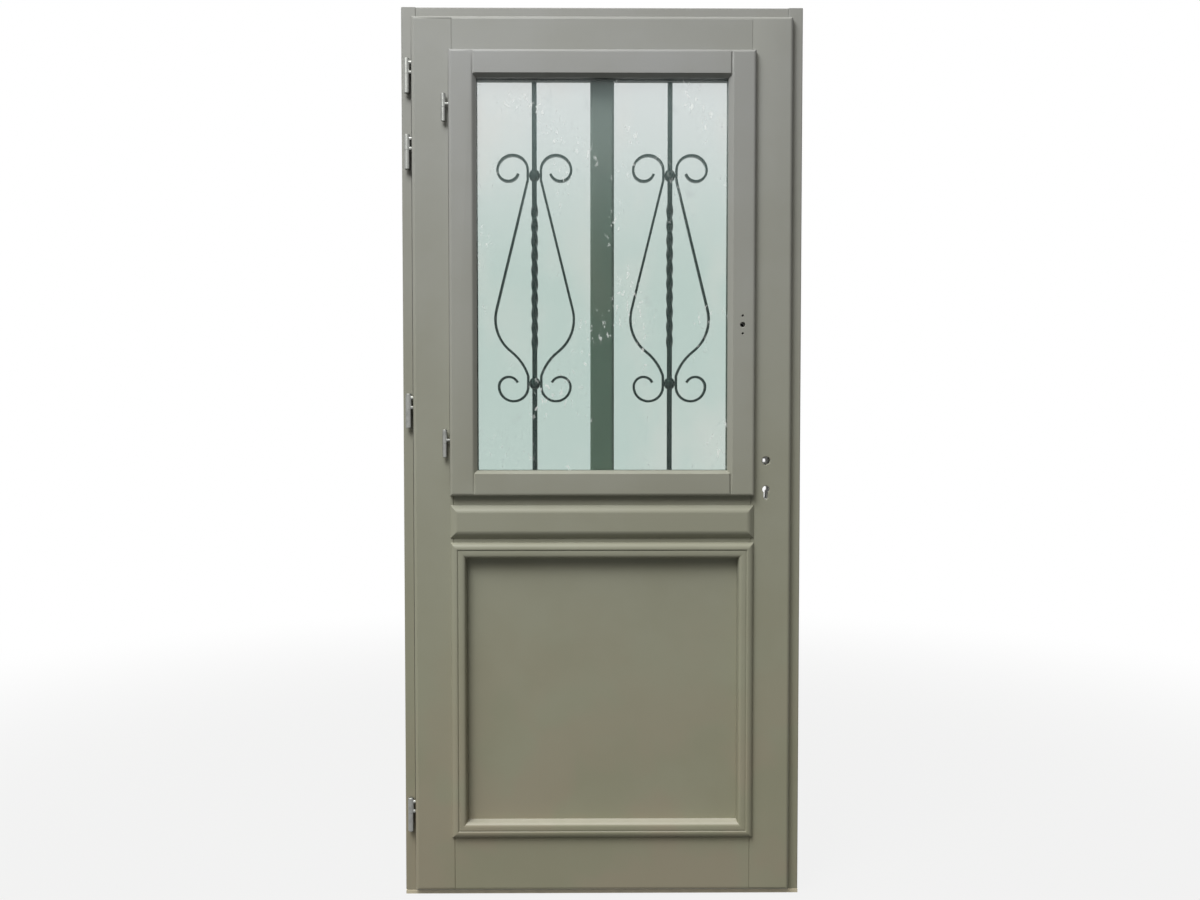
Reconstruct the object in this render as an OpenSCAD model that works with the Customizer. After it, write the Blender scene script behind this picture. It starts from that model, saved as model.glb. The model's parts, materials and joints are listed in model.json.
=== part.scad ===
// Glazed front door with an opening light, hung in its frame.
// Millimetres, Z up, X to the right seen from the room, the room on the -Y side.
// The origin is on the floor, in the middle of the frame's width and depth.

/* [Part shown] */
// Which node to draw

/* [Leaf] */
// Width of the leaf over its lips
leaf_width = 920; // [880:5:980]
// Height of the leaf over its lips
leaf_height = 2130; // [2080:5:2200]
// Thickness of the leaf
leaf_thickness = 56; // [54:1:62]
// Height of the leaf's bottom edge above the floor
leaf_bottom = 15; // [14:1:17]
// Thickness of the lip that laps the frame
lip_thickness = 18; // [16:1:20]
// How far the lip laps the frame
lip_overlap = 14; // [12:1:16]
// Width of the stiles on the room face
stile_width = 98; // [94:1:104]
// Height of the bottom rail
bottom_rail = 142; // [130:1:160]
// Height of the middle rail, between the panel and the light
middle_rail = 128; // [120:1:140]
// Height of the top rail on the room face
top_rail = 91; // [85:1:100]
// Height of the panel's opening
panel_opening = 713; // [680:1:720]
// Thickness of the panel
panel_thickness = 24; // [20:1:28]
// Depth of the groove that holds the panel
panel_groove = 12; // [10:1:14]
// How far the stop behind the light stands in from the rebate
light_stop = 55; // [45:1:60]
// Thickness of the stop behind the light
light_stop_thickness = 20; // [16:1:22]

/* [Mouldings] */
// Width of the moulding around the panel
moulding_width = 39; // [36:1:44]
// How far the moulding laps the leaf's face
moulding_lap = 7; // [5:1:10]
// How far the moulding and the board stand proud of the leaf
moulding_proud = 14; // [10:1:16]
// Height of the board between the light and the panel
board_height = 80; // [70:1:86]
// Width of the board's chamfer
board_chamfer = 13; // [8:1:16]

/* [Opening light] */
// How far the light stands proud of the leaf
light_proud = 18; // [16:1:22]
// Thickness of the light
light_thickness = 48; // [46:1:50]
// Width of the light's stiles
light_stile = 58; // [54:1:64]
// Height of the light's top rail
light_top = 57; // [52:1:62]
// Height of the light's bottom rail
light_base = 54; // [50:1:60]
// How far the light's lip laps the leaf
light_lap = 7; // [6:1:9]
// Width of the bevel beside the glass
glass_bevel = 8; // [5:1:10]
// Thickness of one pane
pane = 4; // [3:1:5]

/* [Frame] */
// Depth of the frame
frame_depth = 68; // [64:1:80]
// Width of the frame seen beside the leaf
frame_face = 26; // [22:1:40]
// Width of the stop that the leaf closes on
frame_stop = 15; // [12:1:18]
// Thickness of the threshold under the jambs
threshold_height = 10; // [8:1:11]
// Height of the threshold's upstand
threshold_upstand = 30; // [26:1:34]

/* [Hinges] */
// Diameter of the leaf's hinge knuckles
door_knuckle = 14; // [13:0.5:16]
// Diameter of the leaf's hinge pins
door_pin = 8; // [6:0.5:9]
// Diameter of the light's hinge knuckles
light_knuckle = 11; // [10:0.5:13]
// Diameter of the light's hinge pins
light_pin = 6; // [5:0.5:6.5]
// Distance from the leaf's top to the top of the first hinge
door_hinge_1 = 99; // [90:1:110]
// Distance from the leaf's top to the top of the second hinge
door_hinge_2 = 281; // [270:1:290]
// Top of the third hinge as a share of the leaf's height
door_hinge_3 = 0.575; // [0.57:0.005:0.58]
// Distance from the leaf's bottom to the top of the lowest hinge
door_hinge_4 = 231; // [220:1:240]

/* [Grille] */
// Side of the square bars
bar_side = 12; // [10:1:14]
// Thickness of the scrolls
scroll_thickness = 6; // [4:0.5:7]
// Half turns of the twist in each bar
twist_half_turns = 5; // [2:1:8]
// Width of the mullion
mullion_width = 58; // [50:1:64]

/* [Locks] */
// Throw of the door's latch and bolt
bolt_throw = 14; // [12:1:16]
// Throw of the light's bolt
light_bolt_throw = 12; // [10:1:14]
// Height of the door's spindle above the leaf's bottom
spindle_height = 1061; // [1050:1:1075]
// Distance from the handle's spindle to the cylinder hole
lock_centres = 70; // [68:1:72]
// Backset of the door lock
lock_backset = 47; // [45:1:50]

/* [Hidden] */
$fn = 48;
// Clearances
lap_gap = 2;
leaf_gap = 4;
light_gap = 3;
seal_gap = 4;
fit = 0.1;
pin_play = 0.05;
end_play = 0.5;
tiny = 0.01;
// Planes across the depth
frame_front = -frame_depth/2;
frame_back = frame_depth/2;
lip_back = frame_front - lap_gap;
leaf_front = lip_back - lip_thickness;
leaf_back = leaf_front + leaf_thickness;
light_front = leaf_front - light_proud;
light_back = light_front + light_thickness;
light_lip_back = leaf_front - 1.5;
stop_front = leaf_back - light_stop_thickness;
frame_stop_front = leaf_back + seal_gap;
panel_back = leaf_back - 16;
panel_front = panel_back - panel_thickness;
// Leaf
leaf_half = leaf_width/2;
leaf_body_half = leaf_half - lip_overlap;
leaf_top = leaf_bottom + leaf_height;
leaf_body_top = leaf_top - lip_overlap;
opening_half = leaf_half - stile_width;
panel_low = leaf_bottom + bottom_rail;
panel_high = panel_low + panel_opening;
rebate_low = panel_high + middle_rail;
rebate_high = leaf_top - top_rail;
panel_mid = (panel_low + panel_high)/2;
moulding_half_x = opening_half + moulding_lap;
moulding_half_z = panel_opening/2 + moulding_lap;
round_width = 0.38*moulding_width;
quirk_width = 2;
quirk_depth = 4;
quirk_step = 1;
ovolo_lift = 2;
ovolo_power = 0.74;
ovolo_start = 0.5*moulding_width;
ovolo_width = 0.47*moulding_width;
ovolo_depth = panel_front - ovolo_lift - leaf_front + moulding_proud - quirk_step;
clear_half = opening_half - light_stop;
clear_low = rebate_low + light_stop - 3;
clear_high = rebate_high - light_stop + 3;
tenon_length = 45;
tenon_front = leaf_front + 20;
tenon_back = tenon_front + 14;
weather_rise = 24;
weather_height = 38;
weather_depth = 28;
weather_nose = 8;
weather_over = 20;
// Light
light_body_half = opening_half - light_gap;
light_half = light_body_half + light_gap + light_lap;
light_body_low = rebate_low + light_gap;
light_body_high = rebate_high - light_gap;
light_low = rebate_low - light_lap;
light_high = rebate_high + light_lap;
day_half = light_half - light_stile;
day_low = light_low + light_base;
day_high = light_high - light_top;
sight_half = day_half - glass_bevel;
sight_low = day_low + glass_bevel;
sight_high = day_high - glass_bevel;
glass_seat = 14;
glass_front = light_front + 16;
glass_gap = 12;
unit_thickness = 2*pane + glass_gap;
glass_half = sight_half + glass_seat - 3;
glass_low = sight_low - glass_seat + 3;
glass_high = sight_high + glass_seat - 3;
bead_front = glass_front + unit_thickness;
light_tenon = 35;
light_tenon_front = light_front + 8;
light_tenon_back = light_front + 15;
// Frame
rebate_half = leaf_body_half + leaf_gap;
passage_half = rebate_half - frame_stop;
frame_half = leaf_half + frame_face;
head_low = leaf_body_top + leaf_gap;
frame_top = leaf_top + frame_face;
fixing_z = [480, frame_top - 491];
fixing_y = frame_stop_front + (frame_back - frame_stop_front)/2;
fixing_radius = 5;
// Leaf hinges
door_axis_x = -leaf_half - 11;
door_axis_y = (leaf_front + lip_back)/2;
door_hinges = [leaf_height - door_hinge_1, leaf_height - door_hinge_2, leaf_height*door_hinge_3,
    door_hinge_4];
door_upper = 38;
door_lower = 46;
door_prong = 4.5;
door_prongs = [10.5, 34];
door_lower_prongs = [12, 35];
door_prong_reach = 36;
// Light hinges
light_axis_x = -light_half - 12;
light_axis_y = (light_front + light_lip_back)/2;
light_hinges = [light_high - 103, light_low + 162];
light_upper = 34;
light_lower = 34;
light_prong = 3.5;
light_prong_drop = 26;
light_lower_drop = 20;
light_prong_reach = 32;
// Door lock
lock_x = leaf_body_half - lock_backset;
lock_z = leaf_bottom + spindle_height;
cylinder_z = lock_z - lock_centres;
lock_mid_y = leaf_front + 36;
case_thickness = 16;
case_wall = 2;
case_drop = 50;
case_rise = 72;
case_low = cylinder_z - case_drop;
case_high = lock_z + case_rise;
middle_tenon_high = min(rebate_low - 26, case_low - 8);
case_back = lock_x - 20;
forend = 3;
forend_width = 20;
forend_over = 18;
follower_radius = 9;
latch_z = lock_z + 40;
latch_height = 24;
dead_z = lock_z - 36;
dead_height = 24;
bolt_thickness = 10;
bolt_play = 0.3;
keep_thickness = 2.5;
// Light lock
light_lock_x = day_half + 27;
light_lock_z = day_low + 360;
light_lock_y = light_front + 32;
light_case_thickness = 14;
light_case_back = light_lock_x - 9;
light_case_height = 40;
light_case_drop = 20;
light_forend_low = 40;
light_forend_high = 60;
light_bolt_z = light_lock_z + 17;
light_bolt_height = 14;
light_bolt_thickness = 7;
light_follower_radius = 6;
// Grille
grille_y = (stop_front + leaf_back)/2 + 1;
bar_x = (mullion_width/2 + sight_half)/2;
clear_height = clear_high - clear_low;
twist_low = clear_low + 0.315*clear_height;
twist_high = clear_low + 0.687*clear_height;
collar_low = clear_low + 0.226*clear_height;
collar_high = clear_low + 0.7605*clear_height;
collar_radius = 13;
bar_seat = 25;

// A box from its low corner to its high corner
module box(a, b) {
    translate(a) cube([b[0] - a[0], b[1] - a[1], b[2] - a[2]]);
}
// A prism along X from a profile given as [y, z]
module along_x(x0, x1) {
    translate([x0, 0, 0]) rotate([90, 0, 90]) linear_extrude(x1 - x0) children();
}
// A prism along Y from a profile given as [x, z]
module along_y(y0, y1) {
    translate([0, y1, 0]) rotate([90, 0, 0]) linear_extrude(y1 - y0) children();
}
// A rod along X, Y or Z
module rod_x(x0, x1, y, z, r) {
    translate([x0, y, z]) rotate([0, 90, 0]) cylinder(h = x1 - x0, r = r);
}
module rod_y(y0, y1, x, z, r) {
    translate([x, y0, z]) rotate([-90, 0, 0]) cylinder(h = y1 - y0, r = r);
}
module rod_z(z0, z1, x, y, r) {
    translate([x, y, z0]) cylinder(h = z1 - z0, r = r);
}

// Frame
module jamb(side, bottom) {
    scale_side(side) {
        box([rebate_half, frame_front, bottom], [frame_half, frame_back, frame_top]);
        box([passage_half, frame_stop_front, bottom], [rebate_half + tiny, frame_back, head_low]);
    }
}
// Mirrors a right-hand shape to the left when side is -1
module scale_side(side) {
    if (side < 0) {
        mirror([1, 0, 0]) children();
    } else {
        children();
    }
}
module fixing_holes(side) {
    scale_side(side) for (z = fixing_z) rod_x(passage_half - 1, frame_half + 1, fixing_y, z, fixing_radius);
}
module head_tenon(grow) {
    box([-rebate_half - 20 - grow, -12 - grow, head_low + 8 - grow],
        [rebate_half + 20 + grow, 4 + grow, frame_top - 8 + grow]);
}
module jamb_hinge_side() {
    color("#b4b3a3") difference() {
        jamb(-1, threshold_height);
        head_tenon(fit);
        fixing_holes(-1);
        for (top = door_hinges) for (drop = door_lower_prongs) {
            rod_y(frame_front - 1, door_axis_y + door_prong_reach + 12, door_axis_x,
                leaf_bottom + top - door_upper - drop, door_prong + fit);
        }
    }
}
module jamb_lock_side() {
    color("#b4b3a3") difference() {
        jamb(1, threshold_height);
        head_tenon(fit);
        fixing_holes(1);
        keep_plate(fit);
        box([rebate_half - 1, lock_mid_y - 8, dead_z - dead_height/2 - 4],
            [rebate_half + bolt_throw + 6, lock_mid_y + 8, dead_z + dead_height/2 + 4]);
        box([rebate_half - 1, lock_mid_y - 8, latch_z - latch_height/2 - 4],
            [rebate_half + bolt_throw + 6, lock_mid_y + 8, latch_z + latch_height/2 + 4]);
    }
}
module frame_head() {
    color("#b4b3a3") {
        box([-rebate_half, frame_front, head_low], [rebate_half, frame_back, frame_top]);
        box([-passage_half, frame_stop_front, head_low - frame_stop], [passage_half, frame_back,
            head_low + tiny]);
        head_tenon(0);
    }
}
module threshold() {
    color("#c9c8c2") {
        box([-frame_half, frame_front, 0], [frame_half, frame_back, threshold_height]);
        box([-passage_half, frame_stop_front, threshold_height - tiny],
            [passage_half, frame_back, threshold_upstand]);
    }
}
module frame_seal() {
    color("#3a3a38") difference() {
        box([-leaf_body_half + 1, leaf_back + 0.3, leaf_bottom + 2],
            [leaf_body_half - 1, frame_stop_front, leaf_body_top - 1]);
        box([-passage_half - 2, leaf_back, leaf_bottom + 12],
            [passage_half + 2, frame_stop_front + 1, head_low - frame_stop + 2]);
    }
}
module keep_plate(grow) {
    box([rebate_half - grow, lock_mid_y - 12 - grow, dead_z - 35 - grow],
        [rebate_half + keep_thickness + grow, lock_mid_y + 12 + grow, latch_z + 35 + grow]);
}
module lock_keep() {
    color("#a9aaa6") difference() {
        keep_plate(0);
        box([rebate_half - 1, lock_mid_y - 7, dead_z - dead_height/2 - 2],
            [rebate_half + 9, lock_mid_y + 7, dead_z + dead_height/2 + 2]);
        box([rebate_half - 1, lock_mid_y - 7, latch_z - latch_height/2 - 2],
            [rebate_half + 9, lock_mid_y + 7, latch_z + latch_height/2 + 2]);
    }
}

// Hinges: the lower half carries the pin, the upper half turns on it
module knuckle_body(z0, z1, r, round_top) {
    h = z1 - z0;
    e = 2;
    translate([0, 0, z0]) rotate_extrude() {
        if (round_top) {
            polygon([[0, 0], [r, 0], [r, h - e], [r - 0.6*e, h - 0.3*e], [r - 1.5*e, h], [0, h]]);
        } else {
            polygon([[0, 0], [r - 1.5*e, 0], [r - 0.6*e, 0.3*e], [r, e], [r, h], [0, h]]);
        }
    }
}
module door_hinge_upper(i) {
    top = leaf_bottom + door_hinges[i];
    color("#9b9b95") difference() {
        union() {
            translate([door_axis_x, door_axis_y, 0]) knuckle_body(top - door_upper, top,
                door_knuckle/2, true);
            for (drop = door_prongs) {
                rod_x(door_axis_x + door_pin/2 + 1, door_axis_x + 11 + door_prong_reach, door_axis_y,
                    top - drop, door_prong);
            }
        }
        rod_z(top - door_upper - 1, top - 6, door_axis_x, door_axis_y, door_pin/2 + pin_play);
    }
}
module door_hinge_lower(i) {
    top = leaf_bottom + door_hinges[i] - door_upper - end_play;
    color("#9b9b95") {
        translate([door_axis_x, door_axis_y, 0])
            knuckle_body(top - door_lower, top, door_knuckle/2, false);
        rod_z(top - 5, top + door_upper - 8, door_axis_x, door_axis_y, door_pin/2);
        for (drop = door_lower_prongs) {
            rod_y(door_axis_y, door_axis_y + door_prong_reach + 11.5, door_axis_x,
                top + end_play - drop, door_prong);
        }
    }
}
module light_hinge_upper(i) {
    top = light_hinges[i];
    color("#9b9b95") difference() {
        union() {
            translate([light_axis_x, light_axis_y, 0])
                knuckle_body(top - light_upper, top, light_knuckle/2, true);
            rod_x(light_axis_x + light_pin/2 + 1, light_axis_x + 12 + light_prong_reach, light_axis_y,
                top - light_prong_drop, light_prong);
        }
        rod_z(top - light_upper - 1, top - 5, light_axis_x, light_axis_y, light_pin/2 + pin_play);
    }
}
module light_hinge_lower(i) {
    top = light_hinges[i] - light_upper - end_play;
    color("#9b9b95") {
        translate([light_axis_x, light_axis_y, 0])
            knuckle_body(top - light_lower, top, light_knuckle/2, false);
        rod_z(top - 4, top + light_upper - 7, light_axis_x, light_axis_y, light_pin/2);
        rod_y(light_axis_y, light_axis_y + light_prong_reach + 10, light_axis_x,
            top - light_lower_drop, light_prong);
    }
}

// Leaf
module leaf_stile(side) {
    scale_side(side) {
        box([opening_half, leaf_front, leaf_bottom], [leaf_body_half, leaf_back, leaf_body_top]);
        box([leaf_body_half - tiny, leaf_front, leaf_bottom], [leaf_half, lip_back, leaf_top]);
        box([opening_half, leaf_front, leaf_body_top - tiny], [leaf_half, lip_back, leaf_top]);
        box([clear_half, stop_front, rebate_low - 16], [opening_half + tiny, leaf_back, rebate_high + 16]);
    }
}
module leaf_mortises(side) {
    scale_side(side) {
        leaf_tenon(leaf_bottom + 20, panel_low - 26, fit);
        leaf_tenon(panel_high + 26, middle_tenon_high, fit);
        leaf_tenon(rebate_high + 26, leaf_body_top - 20, fit);
        box([opening_half - 1, panel_front - fit, panel_low - panel_groove],
            [opening_half + panel_groove, panel_back + fit, panel_high + panel_groove]);
    }
}
module leaf_tenon(z0, z1, grow) {
    box([opening_half - 1, tenon_front - grow, z0 - grow],
        [opening_half + tenon_length + grow, tenon_back + grow, z1 + grow]);
}
module leaf_stile_hinge_side() {
    color("#b7b6a6") difference() {
        leaf_stile(-1);
        leaf_mortises(-1);
        for (top = door_hinges) for (drop = door_prongs) {
            rod_x(door_axis_x + door_knuckle/2, door_axis_x + 11.5 + door_prong_reach, door_axis_y,
                leaf_bottom + top - drop, door_prong + fit);
        }
        for (top = light_hinges) {
            rod_y(leaf_front - 1, light_axis_y + light_prong_reach + 10.5, light_axis_x,
                top - light_upper - end_play - light_lower_drop, light_prong + fit);
        }
    }
}
module lock_mortise() {
    box([case_back - fit, lock_mid_y - case_thickness/2 - fit, case_low - fit],
        [leaf_body_half + 1, lock_mid_y + case_thickness/2 + fit, case_high + fit]);
    box([leaf_body_half - forend - fit, lock_mid_y - forend_width/2 - fit, case_low - forend_over - fit],
        [leaf_body_half + 1, lock_mid_y + forend_width/2 + fit, case_high + forend_over + fit]);
}
module cylinder_hole(y0, y1) {
    rod_y(y0, y1, lock_x, cylinder_z, 8.6);
    box([lock_x - 5.2, y0, cylinder_z - 19.5], [lock_x + 5.2, y1, cylinder_z]);
    rod_y(y0, y1, lock_x, cylinder_z - 19.5, 5.2);
}
module leaf_stile_lock_side() {
    color("#b7b6a6") difference() {
        leaf_stile(1);
        leaf_mortises(1);
        lock_mortise();
        rod_y(leaf_front - 1, leaf_back + 1, lock_x, lock_z, 10);
        cylinder_hole(leaf_front - 1, leaf_back + 1);
        light_keep_plate(fit);
        box([opening_half - 1, light_lock_y - 6, light_bolt_z - light_bolt_height/2 - 4],
            [opening_half + light_bolt_throw + 6, light_lock_y + 6,
            light_bolt_z + light_bolt_height/2 + 4]);
    }
}
module leaf_rail(z0, z1, t0, t1) {
    box([-opening_half, leaf_front, z0], [opening_half, leaf_back, z1]);
    for (side = [-1, 1]) scale_side(side) leaf_tenon(t0, t1, 0);
}
module panel_groove_cut(z0, z1) {
    box([-opening_half - 1, panel_front - fit, z0], [opening_half + 1, panel_back + fit, z1]);
}
module bar_sockets(z0, z1) {
    for (x = [-bar_x, bar_x]) {
        box([x - bar_side/2 - fit, grille_y - bar_side/2 - fit, z0],
            [x + bar_side/2 + fit, grille_y + bar_side/2 + fit, z1]);
    }
}
module mullion_tenon(z0, z1, grow) {
    box([-mullion_width/2 + 10 - grow, grille_y - 5 - grow, z0],
        [mullion_width/2 - 10 + grow, grille_y + 5 + grow, z1]);
}
module leaf_rail_top() {
    color("#b7b6a6") difference() {
        union() {
            leaf_rail(rebate_high, leaf_body_top, rebate_high + 26, leaf_body_top - 20);
            box([-opening_half, leaf_front, leaf_body_top - tiny], [opening_half, lip_back, leaf_top]);
            box([-clear_half, stop_front, clear_high], [clear_half, leaf_back, rebate_high + tiny]);
        }
        stile_notches(rebate_high - 1, rebate_high + 16);
        bar_sockets(clear_high - 1, clear_high + bar_seat);
        mullion_tenon(clear_high - 1, clear_high + bar_seat, fit);
    }
}
module stile_notches(z0, z1) {
    for (side = [-1, 1]) scale_side(side) {
        box([clear_half, stop_front - fit, z0], [opening_half + 0.5, leaf_back + 1, z1 + fit]);
    }
}
module leaf_rail_middle() {
    color("#b7b6a6") difference() {
        union() {
            leaf_rail(panel_high, rebate_low, panel_high + 26, middle_tenon_high);
            box([-clear_half, stop_front, rebate_low - tiny], [clear_half, leaf_back, clear_low]);
        }
        stile_notches(rebate_low - 16 - fit, rebate_low + 1);
        panel_groove_cut(panel_high - 1, panel_high + panel_groove);
        bar_sockets(clear_low - bar_seat, clear_low + 1);
        mullion_tenon(clear_low - bar_seat, clear_low + 1, fit);
    }
}
module leaf_rail_bottom() {
    color("#b7b6a6") difference() {
        leaf_rail(leaf_bottom, panel_low, leaf_bottom + 20, panel_low - 26);
        panel_groove_cut(panel_low - panel_groove, panel_low + 1);
    }
}
module leaf_panel() {
    g = panel_groove - 2;
    color("#b3b19e") box([-opening_half - g, panel_front, panel_low - g], [opening_half + g,
        panel_back, panel_high + g]);
}
module mullion() {
    color("#5e6d64") {
        difference() {
            box([-mullion_width/2, stop_front, clear_low], [mullion_width/2, leaf_back, clear_high]);
            for (side = [-1, 1]) scale_side(side) {
                along_z(clear_low - 1, clear_high + 1) polygon([[mullion_width/2 - 6, stop_front - 1],
                    [mullion_width/2 + 1, stop_front - 1], [mullion_width/2 + 1, stop_front + 6],
                    [mullion_width/2, stop_front + 6], [mullion_width/2 - 6, stop_front]]);
            }
        }
        mullion_tenon(clear_low - bar_seat + 2, clear_low + tiny, 0);
        mullion_tenon(clear_high - tiny, clear_high + bar_seat - 2, 0);
    }
}
module along_z(z0, z1) {
    translate([0, 0, z0]) linear_extrude(z1 - z0) children();
}
module weather_bar() {
    low = leaf_bottom + weather_rise;
    high = low + weather_height;
    nose = leaf_back + weather_depth;
    color("#8d8b7c") along_x(-clear_half - weather_over,
        clear_half + weather_over) polygon([[leaf_back, low],
        [nose, low], [nose, low + weather_nose], [leaf_back + weather_nose, high], [leaf_back, high]]);
}
module light_seal() {
    color("#3a3a38") difference() {
        box([-light_body_half + 1, light_back + 0.3, light_body_low + 1],
            [light_body_half - 1, stop_front, light_body_high - 1]);
        box([-light_body_half + 9, light_back - 1, light_body_low + 9],
            [light_body_half - 9, stop_front + 1, light_body_high - 9]);
    }
}

// Mouldings: a round-over on the outside, a crest, a quirk and an ovolo down to the panel
function round_over(n) = [for (i = [0:n])
    [round_width*(1 - cos(90*i/n)), leaf_front - moulding_proud*sin(90*i/n)]];
function ovolo(n) = [for (i = [0:n]) [ovolo_start + ovolo_width*pow(sin(90*i/n), ovolo_power),
    leaf_front - moulding_proud + quirk_step + ovolo_depth*(1 - pow(cos(90*i/n), ovolo_power))]];
module moulding_profile() {
    crest = leaf_front - moulding_proud;
    polygon(concat(round_over(10), [[ovolo_start - quirk_width, crest], [ovolo_start - quirk_width, crest + quirk_depth],
        [ovolo_start, crest + quirk_depth]], ovolo(12), [[moulding_width, panel_front - ovolo_lift],
        [moulding_width, panel_front], [moulding_lap, panel_front], [moulding_lap, leaf_front]]));
}
// One mitred length: the profile runs inward from the outer edge
module moulding_length(half) {
    intersection() {
        rotate([90, 0, 90]) translate([0, 0,
            -half - 1]) linear_extrude(2*half + 2) rotate(90) mirror([0, 1])
            moulding_profile();
        along_y(leaf_front - moulding_proud - 1, panel_front + 1) polygon([[-half, 0], [half, 0],
            [half - moulding_width, moulding_width], [-half + moulding_width, moulding_width]]);
    }
}
module moulding_bottom() {
    color("#b7b6a6") translate([0, 0, panel_low - moulding_lap]) moulding_length(moulding_half_x);
}
module moulding_top() {
    color("#b7b6a6") translate([0, 0, panel_high + moulding_lap]) mirror([0, 0,
        1]) moulding_length(moulding_half_x);
}
module moulding_left() {
    color("#b7b6a6") translate([-moulding_half_x, 0, panel_mid]) rotate([0, 90, 0])
        moulding_length(moulding_half_z);
}
module moulding_right() {
    color("#b7b6a6") translate([moulding_half_x, 0, panel_mid]) rotate([0, -90, 0])
        moulding_length(moulding_half_z);
}
module rail_board() {
    half = opening_half + moulding_lap;
    z0 = panel_high + moulding_lap + 11;
    z1 = z0 + board_height;
    front = leaf_front - moulding_proud;
    edge = leaf_front - 2;
    c = board_chamfer;
    color("#b7b6a6") intersection() {
        along_x(-half, half) polygon([[leaf_front, z0], [leaf_front, z1], [edge, z1], [front, z1 - c],
            [front, z0 + c],
            [edge, z0]]);
        along_z(z0 - 1, z1 + 1) polygon([[-half, leaf_front], [half, leaf_front], [half, edge],
            [half - c, front],
            [-half + c, front], [-half, edge]]);
    }
}

// Opening light
module light_ring() {
    difference() {
        union() {
            box([-light_half, light_front, light_low], [light_half, light_lip_back, light_high]);
            box([-light_body_half, light_front, light_body_low], [light_body_half, light_back,
                light_body_high]);
        }
        box([-sight_half, light_front - 1, sight_low], [sight_half, light_back + 1, sight_high]);
        intersection() {
            along_z(light_low, light_high) polygon([[-day_half - 1, light_front - 1.5], [day_half + 1,
                light_front - 1.5],
                [sight_half, light_front + 12], [-sight_half, light_front + 12]]);
            along_x(-light_half, light_half) polygon([[light_front - 1.5, day_low - 1],
                [light_front + 12, sight_low],
                [light_front + 12, sight_high], [light_front - 1.5, day_high + 1]]);
        }
        box([-sight_half - glass_seat, glass_front, sight_low - glass_seat],
            [sight_half + glass_seat, light_back + 1, sight_high + glass_seat]);
    }
}
module light_stile_region() {
    along_y(light_front - 1, light_back + 1) polygon([[day_half, light_low - 1], [light_half + 1,
        light_low - 1],
        [light_half + 1, light_high + 1], [day_half, light_high + 1], [day_half, day_high],
        [sight_half - 1, sight_high - 1],
        [sight_half - 1, sight_low + 1], [day_half, day_low]]);
}
module light_tenons(grow) {
    for (side = [-1, 1]) scale_side(side) for (z = [light_low + 20, light_high - 40]) {
        box([day_half - 1, light_tenon_front - grow, z - grow],
            [day_half + light_tenon + grow, light_tenon_back + grow, z + 20 + grow]);
    }
}
module light_stile_hinge_side() {
    color("#b9b8a9") difference() {
        intersection() {
            light_ring();
            mirror([1, 0, 0]) light_stile_region();
        }
        light_tenons(fit);
        for (top = light_hinges) {
            rod_x(light_axis_x + light_knuckle/2, light_axis_x + 12.5 + light_prong_reach, light_axis_y,
                top - light_prong_drop, light_prong + fit);
        }
    }
}
module light_lock_mortise() {
    box([light_case_back - fit, light_lock_y - light_case_thickness/2 - fit,
        light_lock_z - light_case_drop - fit],
        [light_body_half + 1, light_lock_y + light_case_thickness/2 + fit,
        light_lock_z + light_case_height + fit]);
    box([light_body_half - 2.5 - fit, light_lock_y - light_case_thickness/2 - fit,
        light_lock_z - light_forend_low - fit],
        [light_body_half + 1, light_lock_y + light_case_thickness/2 + fit,
        light_lock_z + light_forend_high + fit]);
}
module light_stile_lock_side() {
    color("#b9b8a9") difference() {
        intersection() {
            light_ring();
            light_stile_region();
        }
        light_tenons(fit);
        light_lock_mortise();
        rod_y(light_front - 1, light_lock_y, light_lock_x, light_lock_z, 6);
        for (dz = [-21.5, 21.5]) rod_y(light_front - 1, light_front + 12, light_lock_x,
            light_lock_z + dz, 2.5);
    }
}
module light_rail(low) {
    difference() {
        light_ring();
        light_stile_region();
        mirror([1, 0, 0]) light_stile_region();
        if (low) {
            box([-light_half, light_front - 1, (light_low + light_high)/2], [light_half,
                light_back + 1, light_high + 1]);
        } else {
            box([-light_half, light_front - 1, light_low - 1], [light_half, light_back + 1,
                (light_low + light_high)/2]);
        }
    }
}
module light_rail_top() {
    color("#b9b8a9") {
        light_rail(false);
        intersection() {
            light_tenons(0);
            box([-light_half, light_front, light_high - 60], [light_half, light_back, light_high]);
        }
    }
}
module light_rail_bottom() {
    color("#b9b8a9") {
        light_rail(true);
        intersection() {
            light_tenons(0);
            box([-light_half, light_front, light_low], [light_half, light_back, light_low + 60]);
        }
    }
}
module pane_box(y0) {
    box([-glass_half, y0, glass_low], [glass_half, y0 + pane, glass_high]);
}
module glass_inner() {
    color("#cfe0d8") pane_box(glass_front);
}
module glass_outer() {
    color("#cfe0d8") pane_box(glass_front + pane + glass_gap);
}
module glass_spacer() {
    color("#4a4c4a") difference() {
        box([-glass_half, glass_front + pane, glass_low], [glass_half, glass_front + pane + glass_gap,
            glass_high]);
        box([-glass_half + 9, glass_front + pane - 1, glass_low + 9],
            [glass_half - 9, glass_front + pane + glass_gap + 1, glass_high - 9]);
    }
}
module glazing_beads() {
    color("#a3a294") difference() {
        box([-sight_half - glass_seat, bead_front, sight_low - glass_seat],
            [sight_half + glass_seat, light_back, sight_high + glass_seat]);
        box([-sight_half, bead_front - 1, sight_low], [sight_half, light_back + 1, sight_high]);
    }
}

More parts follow.
